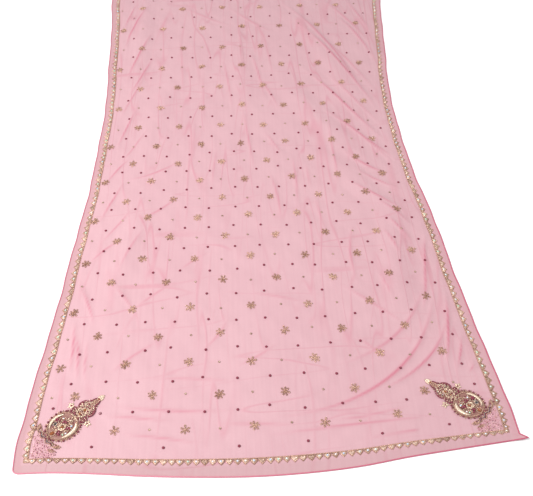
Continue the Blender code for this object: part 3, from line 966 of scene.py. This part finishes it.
# ---- The corner motifs ------------------------------------------------------------------------
# A round head ringed with beads and set with two padded crescents, a beaded neck with lobes, and
# a gilt leaf tip that points into the ground.  Behind the head a wavy band closes off the
# border's corner, and a light net of thread rings and tiny beads fills it.
HEAD_RADIUS = 0.0255
RIM_RADIUS = 0.0300
RIM_BEADS = 40
BODY = np.array((
    # along the axis from the head's centre, half width of the filling under head and neck
    (-0.026, 0.0100),
    (-0.016, 0.0220),
    (0.000, 0.0265),
    (0.018, 0.0230),
    (0.030, 0.0155),
    (0.042, 0.0130),
    (0.056, 0.0135),
    (0.068, 0.0085),
    (0.080, 0.0048),
    (0.089, 0.0020),
)).T
EDGE_CHIPS = 22
MOTIF_FULLER = 0.14         # how much the head and neck are spread, for all that is on them
MOTIF_LAYER = 0.0011        # beads and wires lie on the filling
MOTIF_TOP = 0.0017          # and stones on them
CRESCENTS = (
    # from and to, in degrees, and how much thicker the middle is than the ends
    (50, 150, 0.0024),
    (-128, -22, 0.0031),
)
HEAD_CLUSTERS = ((0.0075, 0.0035), (-0.0125, -0.0065), (0.0045, -0.0110), (0.0000, 0.0160))
HEAD_STONES = (
    # place, lot
    ((-0.009, -0.015), 0.65),
    ((0.009, 0.012), 0.0),
    ((0.011, -0.010), 0.3),
    ((-0.004, -0.0165), 0.9),
)
HEAD_CENTRE = (-0.002, -0.001)
JET_PLACE = (-0.008, 0.0125)
BACK_STONE = (-0.0205, 0)
SHOULDER_LOBE = (0.0335, 0.0125)
SHOULDER_BLOOM = (0.0350, 0.0222)
NECK_LOBE = (0.0555, 0.0092)
NECK_LOBE_TURN = -0.22
TIP_PLACE = (0.0755, 0)
TIP_LEAVES = (
    # base, turn, length, breadth, height, lot, lift
    ((0.0850, 0), 0.0, 0.0160, 0.0095, 0.0022, 0.75, 0.0004),
    ((0.0800, 0.0020), 0.16, 0.0150, 0.0045, 0.0018, 0.5, 0.0006),
    ((0.0800, -0.0020), -0.16, 0.0150, 0.0045, 0.0018, 0.6, 0.0006),
)
NET_COLUMN = 0.0060         # the net's spacing along the motif's axis and aside
NET_ROW = 0.0055
NET_REACH = -0.0425         # the net ends here, behind the head
FILLING, MAROON, WIRE, BRIGHT, CLEAR, AMBER, JET, SILVER, NET = range(9)
BAND_WIRES = (
    # how far the wave is set in, thickness, finish, lot
    (-0.0045, 0.0011, WIRE, 0.8),
    (-0.0020, 0.0012, MAROON, 0.2),
    (0.0006, 0.0010, SILVER, 0.5),
    (0.0030, 0.0010, WIRE, 0.5),
)
NET_BEADS = ((MAROON, 0.62), (WIRE, 0.35), (BRIGHT, 0.26))      # finish, share of the spots

rose_filling = thread_finish(
    "rose_filling", ((0.13, 0.030, 0.040), (0.46, 0.25, 0.19)), {"Roughness": 0.6},
    (0.0009, 0.0, 0.0002),
)
bright_gilt = gilt("bright_gilt", (0.66, 0.47, 0.33), (0.92, 0.74, 0.57), 0.28, SATIN_THREAD)
silver_wire = gilt(
    "silver_wire", (0.13, 0.12, 0.13), (0.46, 0.44, 0.44), 0.30, (PURL[0], 1.0, 0.0002)
)
amber_stone = new_material(
    "amber_stone",
    {"Base Color": (0.26, 0.07, 0.015, 1), "Roughness": 0.06, "Coat Weight": 0.8},
)[0]
jet_stone = new_material(
    "jet_stone", {"Base Color": (0.012, 0.010, 0.016, 1), "Roughness": 0.07}
)[0]
net_thread = thread_finish(
    "net_thread", ((0.60, 0.27, 0.32), (0.86, 0.52, 0.56)), {"Roughness": 0.6}
)
MOTIF_FINISHES = [
    rose_filling, garnet_glass, gilt_purl, bright_gilt, clear_stone, amber_stone, jet_stone,
    silver_wire, net_thread,
]


def in_corner(local, right_side, far_end):
    """Lay points of a corner motif: x along its axis from the head's centre, y aside, z up."""
    share_across, share_along = CORNER_SHARES
    cosine, sine = math.cos(MOTIF_LEAN), math.sin(MOTIF_LEAN)
    fuller = MOTIF_FULLER * np.clip((local[:, 0] + 0.045) / 0.02, 0, 1)
    neck = np.sin(math.pi * np.clip(local[:, 0] / 0.09, 0, 1))
    x = local[:, 0] * (1 + fuller * (1 - np.clip(local[:, 0] / MOTIF_REACH, 0, 1)))
    y = local[:, 1] * (1 + fuller + MOTIF_FULLER * neck)
    across = MOTIF_CENTRE[0] + (x * cosine - y * sine) / share_across
    along = MOTIF_CENTRE[1] + (x * sine + y * cosine) / share_along
    across = WIDTH - across if right_side else across
    along = LENGTH - along if far_end else along
    return lay(across, along, local[:, 2])


def ringed(shape, finish, radius, count, start=0.0, lot=0.5, centre=(0, 0)):
    """Copies of a shape round a circle, each turned with it."""
    angle = start + 2 * math.pi * (np.arange(count) + 0.5) / count + rng.normal(0, 0.02, count)
    away = radius + rng.normal(0, 0.0003, count)
    places = np.stack((centre[0] + away * np.cos(angle), centre[1] + away * np.sin(angle)), 1)
    motif.add(copies(shape[0], places, angle, rng.normal(1, 0.06, count)), shape[1], finish, lot)


def wire(path, radius, finish, lot=0.5, sides=6, closed=False, lift=MOTIF_LAYER, flatten=1.0):
    """A coiled wire or padded roll sewn along a path on the flat."""
    path = np.asarray(path, float)
    height = lift + flatten * np.broadcast_to(radius, len(path))
    points, groups = wound(np.column_stack((path, height)), radius, sides, closed, flatten)
    motif.add(points[None], groups, finish, lot)


def arc(centre, radius, start, end, points):
    """Points on an arc, the radius a number or one for each point."""
    angle = np.radians(np.linspace(start, end, points))
    return np.stack((centre[0] + radius * np.cos(angle), centre[1] + radius * np.sin(angle)), 1)


def oval(points, wide, deep, centre, turn=0.0):
    """Points round a turned ellipse."""
    flat = np.column_stack((circle(points, wide, deep), np.zeros(points)))
    return copies(flat, [centre], turn)[0, :, :2]


def stone(centre, radius, finish, wide=1.0, lot=0.5, lift=MOTIF_TOP, sides=10):
    """One cut stone, "wide" times as long as it is broad."""
    points, groups = cut_stone(radius, sides, wide)
    points[:, 2] += lift
    motif.add(copies(points, [centre]), groups, finish, lot)


def pad(centre, wide, deep, height, turn=0.0, lot=0.5, sides=20, lift=0.0):
    """A low domed padding of laid thread on an ellipse."""
    heights = np.array((0, 0.5, 0.85, 1, 1.02)) * height
    points, groups = raised(circle(sides, wide, deep), (1.0, 0.97, 0.78, 0.42, 0.1), heights)
    points[:, 2] += lift
    motif.add(copies(points, [centre], turn), groups, FILLING, lot)


def strewn(shape, finish, centre, wide, deep, count, turn=0.0, lift=MOTIF_LAYER):
    """Copies of a shape strewn over an ellipse by a golden-angle spiral, turned at random."""
    index = np.arange(count) + 0.5
    angle = index * 2.39996 + rng.random()
    away = np.sqrt(index / count)
    spot = np.stack((wide * away * np.cos(angle), deep * away * np.sin(angle)), 1)
    spot += rng.normal(0, 0.0007, spot.shape)
    swung = copies(np.column_stack((spot, np.zeros(count))), [centre], turn)[0, :, :2]
    points = shape[0] + (0, 0, lift)
    turns = rng.random(count) * 2 * math.pi
    motif.add(copies(points, swung, turns), shape[1], finish, rng.random(count))


def leaf(base, turn, length, breadth, height, lot, lift):
    """A padded leaf or petal from its base: half widths follow a sine."""
    share = np.linspace(0, 1, 7)
    half = breadth / 2 * np.sin(math.pi * share**0.85) ** 0.9
    lower = np.stack((length * (share - 0.5), -half), 1)
    upper = np.stack((length * (share - 0.5), half), 1)[-2:0:-1]
    heights = np.array((0, 0.55, 0.9, 1)) * height
    points, groups = raised(np.concatenate((lower, upper)), (1.0, 0.92, 0.6, 0.15), heights)
    points += (length / 2, 0, lift)
    motif.add(copies(points, [base], turn), groups, BRIGHT, lot)


def bullion_sprig(centre, facing_turn, spread):
    """Four loops of coiled wire fanned from a garnet bead."""
    swing = facing_turn + np.linspace(-spread, spread, 4) - math.pi / 2
    placed = copies(petal_points * (0.9, 0.9, 1.0), np.tile(centre, (4, 1)), swing)
    motif.add(placed, petal_groups, WIRE, rng.random(4))
    motif.add(copies(rim_bead[0], [centre]), rim_bead[1], MAROON, 0.5)


def work_head():
    """The round head, from its padding up to its stones."""
    pad((0, 0), RIM_RADIUS, RIM_RADIUS, 0.0008, lot=0.7, sides=32)
    pad((0, 0), HEAD_RADIUS, HEAD_RADIUS, MOTIF_LAYER + 0.0003, sides=28)
    ringed(rim_bead, MAROON, RIM_RADIUS, RIM_BEADS // 2, lot=0.3)
    ringed(chip, WIRE, RIM_RADIUS, RIM_BEADS // 2, 2 * math.pi / RIM_BEADS, 0.7)
    for start, end, thick in CRESCENTS:
        swell = 0.0006 + thick * np.sin(np.linspace(0, math.pi, 22)) ** 0.8
        wire(arc((0, 0), 0.0229, start, end, 22), swell, BRIGHT, 0.8, 8, flatten=0.75)
    wire(arc((0, 0), 0.0262, 0, 351, 40), 0.0009, WIRE, 0.5, 5, True)
    ringed(small_bead, MAROON, 0.0180, 30)
    strewn(chip, WIRE, (0, 0), 0.0190, 0.0190, 52)
    strewn(chip, BRIGHT, (0, 0), 0.0175, 0.0175, 40, 1.1, 0.0020)
    strewn(small_bead, MAROON, (0.001, 0.001), 0.0150, 0.0150, 12)
    for spot in HEAD_CLUSTERS:
        strewn(rim_bead, MAROON, spot, 0.0034, 0.0034, 6, lift=MOTIF_LAYER + 0.0008)
    spiral = np.linspace(0.0072, 0.0044, 30)
    wire(arc(HEAD_CENTRE, spiral, 40, 40 + 600, 30), 0.00085, BRIGHT, 0.7, lift=MOTIF_TOP)
    stone(HEAD_CENTRE, 0.0030, AMBER)
    stone(JET_PLACE, 0.0024, JET)
    wire(arc(JET_PLACE, 0.0035, 0, 330, 12), 0.0008, SILVER, 0.7, 5, True, MOTIF_LAYER + 0.0004)
    for spot, lot in HEAD_STONES:
        stone(spot, 0.0019, CLEAR, lot=lot, lift=MOTIF_LAYER + 0.0005, sides=8)
    stone(BACK_STONE, 0.0036, AMBER, 1.2)
    wire(arc(BACK_STONE, 0.0052, 0, 336, 15), 0.0009, WIRE, 0.7, 5, True)


def work_band():
    """The wavy band behind the head, closed at its ends by curls and sprigs."""
    share = np.linspace(-1, 1, 34)
    wave = 0.0030 * np.cos(share * 2.5 * math.pi)
    for set_in, thick, finish, lot in BAND_WIRES:
        band = np.stack((-0.0365 + set_in + wave, -0.0215 * share), 1)
        wire(band, thick, finish, lot, lift=0.0004)
    strewn(chip, WIRE, (-0.0305, 0.0), 0.0040, 0.0180, 16)
    strewn(small_bead, MAROON, (-0.0310, 0.0), 0.0035, 0.0190, 12)
    for hand in (-1, 1):
        curl = arc((-0.0330, 0.0245 * hand), np.linspace(0.0060, 0.0022, 20), 200 * hand,
                   -280 * hand, 20)
        wire(curl[::-hand], 0.0011, WIRE, 0.7, lift=0.0003)
        bullion_sprig((-0.0300, 0.0265 * hand), math.pi * 0.62 * hand, 0.9)
        share = np.linspace(0, 1, 12)
        stem = np.stack((-0.0350 + 0.009 * share, hand * (0.0185 + 0.0105 * share**1.5)), 1)
        wire(stem, 0.0011, WIRE, 0.4, lift=0.0003)
    bullion_sprig((-0.0350, 0.0350), math.pi * 0.80, 1.1)
    bullion_sprig((-0.0435, -0.0305), -math.pi * 0.80, 1.1)


def work_shoulders():
    """A beaded lobe and a small bloom on each shoulder."""
    for hand in (-1, 1):
        lobe = SHOULDER_LOBE[0], SHOULDER_LOBE[1] * hand
        pad(lobe, 0.0068, 0.0042, 0.0014, 0.5 * hand, 0.35)
        wire(oval(16, 0.0070, 0.0042, lobe, 0.5 * hand), 0.0010, MAROON, 0.3, 5, True, 0.0006)
        bloom = SHOULDER_BLOOM[0], SHOULDER_BLOOM[1] * hand
        for petal in range(5):
            turn = petal * 2 * math.pi / 5 + 0.3
            leaf(bloom, turn, 0.0078, 0.0044, 0.0016, 0.55, 0.0004)
        points, groups = bead(0.0016, 8)
        motif.add(copies(points + (0, 0, 0.0010), [bloom]), groups, MAROON, 0.5)


def work_neck():
    """The neck: paired lobes about two amber stones, with wires curling beside them."""
    outline = np.concatenate((BODY * ((1,), (-1,)), BODY[:, ::-1]), axis=1).T
    points, groups = raised(outline, (1.0, 0.98, 0.93), (0.0, 0.0006, 0.0009))
    motif.add(points[None], groups, FILLING, 0.5)
    for hand in (-1, 1):
        edge = np.linspace(0.022, 0.076, EDGE_CHIPS)
        half = smooth_through(edge, *BODY)
        turns = hand * (np.arctan2(np.gradient(half, edge), 1) + math.pi / 2)
        places = np.stack((edge, hand * half), axis=1)
        motif.add(copies(chip[0], places[::2], turns[::2]), chip[1], BRIGHT, 0.6)
        motif.add(copies(rim_bead[0], places[1::2]), rim_bead[1], MAROON, 0.4)
    strewn(chip, WIRE, (0.044, 0), 0.0280, 0.0110, 44)
    strewn(chip, BRIGHT, (0.042, 0), 0.0270, 0.0105, 40, lift=0.0018)
    strewn(small_bead, MAROON, (0.044, 0), 0.0270, 0.0110, 12)
    for hand in (-1, 1):
        lobe = NECK_LOBE[0], NECK_LOBE[1] * hand
        turn = NECK_LOBE_TURN * hand
        pad(lobe, 0.0115, 0.0060, 0.0014, turn, 0.35, lift=0.0002)
        for reach_out, thick, finish in ((1.0, 0.0011, MAROON), (0.78, 0.0008, WIRE)):
            rim = oval(22, 0.0118 * reach_out, 0.0062 * reach_out, lobe, turn)
            wire(rim, thick, finish, 0.4, 5, True, 0.0008)
        strewn(chip, BRIGHT, lobe, 0.0080, 0.0035, 7, turn, 0.0014)
        strewn(small_bead, MAROON, lobe, 0.0085, 0.0040, 6, turn, 0.0014)
        for step, lot in ((-0.006, 0.1), (0.0, 0.7), (0.006, 0.3)):
            spot = lobe[0] + step, lobe[1] - 0.0012 * hand
            stone(spot, 0.0014, CLEAR, lot=lot, lift=MOTIF_LAYER, sides=6)
        share = np.linspace(0, 1, 26)
        swing = hand * (0.0028 + 0.0050 * np.sin(share * 2 * math.pi) ** 2)
        curl = np.stack((0.030 + 0.042 * share, swing), 1)
        wire(curl[::-hand], 0.0009, BRIGHT, 0.6, lift=0.0013)
    stone((0.049, 0), 0.0026, AMBER, 1.5, lift=0.0014)
    stone((0.036, 0), 0.0022, AMBER, lift=0.0014)
    ringed(small_bead, MAROON, 0.0042, 10, centre=(0.036, 0))


def work_tip():
    """The upper lobe and the leaf tip."""
    pad(TIP_PLACE, 0.0110, 0.0058, 0.0014, lot=0.6)
    wire(oval(20, 0.0112, 0.0060, TIP_PLACE), 0.0011, MAROON, 0.3, 5, True, 0.0006)
    wire(oval(18, 0.0085, 0.0040, TIP_PLACE), 0.0008, WIRE, 0.7, 5, True, 0.0009)
    strewn(chip, WIRE, (0.0740, 0), 0.0065, 0.0030, 6)
    stone((0.0855, 0), 0.0023, AMBER, lift=0.0013)
    for row in TIP_LEAVES:
        leaf(*row)


def work_net():
    """The net in the border's corner: thread rings on a staggered grid, and tiny beads."""
    row = np.arange(-8, 9)
    u, v = np.meshgrid(np.arange(-0.090, -0.040, NET_COLUMN), row * NET_ROW)
    u = u + NET_COLUMN / 2 * (row[:, None] % 2)
    spots = np.stack((u.ravel(), v.ravel()), 1) + rng.normal(0, 0.0008, (u.size, 2))
    cosine, sine = math.cos(MOTIF_LEAN), math.sin(MOTIF_LEAN)
    cut_spots = MOTIF_CENTRE + spots @ np.array(((cosine, sine), (-sine, cosine)))
    inside = (cut_spots[:, 0] > side_inner + 0.003) & (cut_spots[:, 1] > end_inner + 0.003)
    spots = spots[inside & (spots[:, 0] < NET_REACH)]
    count = len(spots)
    motif.add(copies(thread_ring[0], spots), thread_ring[1], NET, rng.random(count))
    for finish, share in NET_BEADS:
        chosen = spots[rng.random(count) < share]
        chosen = chosen + rng.normal(0, 0.0015, chosen.shape)
        motif.add(copies(seed_bead[0], chosen), seed_bead[1], finish, rng.random(len(chosen)))


seed_bead = bead(0.0011, 5)
small_bead = bead(0.0014, 6)
rim_bead = bead(0.0019, 8)
chip = wound(((-0.0022, 0, 0.0008), (0.0022, 0, 0.0008)), 0.0008)
thread_ring = wound(
    np.column_stack((circle(9, 0.0025, 0.0025), np.full(9, 0.0005))), 0.0005, 4, True
)
CORNER_SHARES = drawn_in(MOTIF_CENTRE[1])
for end_name, far_end in (("near", False), ("far", True)):
    for side_name, right_side in (("left", False), ("right", True)):
        motif = Needlework()
        work_head()
        work_band()
        work_shoulders()
        work_neck()
        work_tip()
        work_net()
        motif.points = [in_corner(points, right_side, far_end) for points in motif.points]
        if right_side != far_end:
            motif.turn_about()
        name = "motif_" + end_name + "_" + side_name
        piece = motif.sew(name + "_work", MOTIF_FINISHES, (CLEAR, AMBER, JET))
        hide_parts(name)

# ---- Floor, light and camera ------------------------------------------------------------------
# A plain pale floor just under the cloth, soft daylight from two sides, and a camera above the
# near end.
CAMERA_PLACE = (-0.035, -SECTIONS[1, -1] / 2 - 0.407, 1.263)
CAMERA_PITCH = math.radians(52.98)
CAMERA_TURN = math.radians(2.94)
CAMERA_LENS = 44.37
SENSOR = 36.0
FLOOR_HALF = 12.0
FLOOR_HEIGHT = -0.0004
DAYLIGHT = 0.60
camera_data = bpy.data.cameras.new("camera")
camera_data.lens = CAMERA_LENS
camera_data.sensor_width = SENSOR
camera = bpy.data.objects.new("camera", camera_data)
bpy.context.scene.collection.objects.link(camera)
camera.location = CAMERA_PLACE
camera.rotation_euler = (math.pi / 2 - CAMERA_PITCH, 0, -CAMERA_TURN)
bpy.context.scene.camera = camera
bpy.context.scene.view_settings.view_transform = "Standard"

floor_paint = new_material(
    "floor_paint", {"Base Color": (0.96, 0.96, 0.96, 1), "Roughness": 0.8}
)[0]
floor_points = np.array([(-1, -1, 0), (1, -1, 0), (1, 1, 0), (-1, 1, 0)]) * FLOOR_HALF
floor_points[:, 2] = FLOOR_HEIGHT
floor = make_mesh("floor", floor_points, [np.array([[0, 1, 2, 3]])], [floor_paint])


def add_soft_light(name, place, aim, size, watts):
    """A square area light that looks from one point to another."""
    data = bpy.data.lights.new(name, "AREA")
    data.shape = "SQUARE"
    data.size = size
    data.energy = watts
    made = bpy.data.objects.new(name, data)
    bpy.context.scene.collection.objects.link(made)
    made.location = place
    run = np.array(aim) - np.array(place)
    turn = math.atan2(run[0], -run[1])
    tilt = math.atan2(math.hypot(run[0], run[1]), -run[2])
    made.rotation_euler = (tilt, 0, turn + math.pi)


add_soft_light("key", (-1.7, -0.9, 2.5), (0, -0.2, 0), 1.3, 99)
add_soft_light("fill", (2.2, -0.5, 2.8), (0, 0, 0), 2.4, 22)
world = bpy.data.worlds.new("studio")
bpy.context.scene.world = world
world.use_nodes = True
world.node_tree.nodes["Background"].inputs["Color"].default_value = (1, 1, 1, 1)
world.node_tree.nodes["Background"].inputs["Strength"].default_value = DAYLIGHT
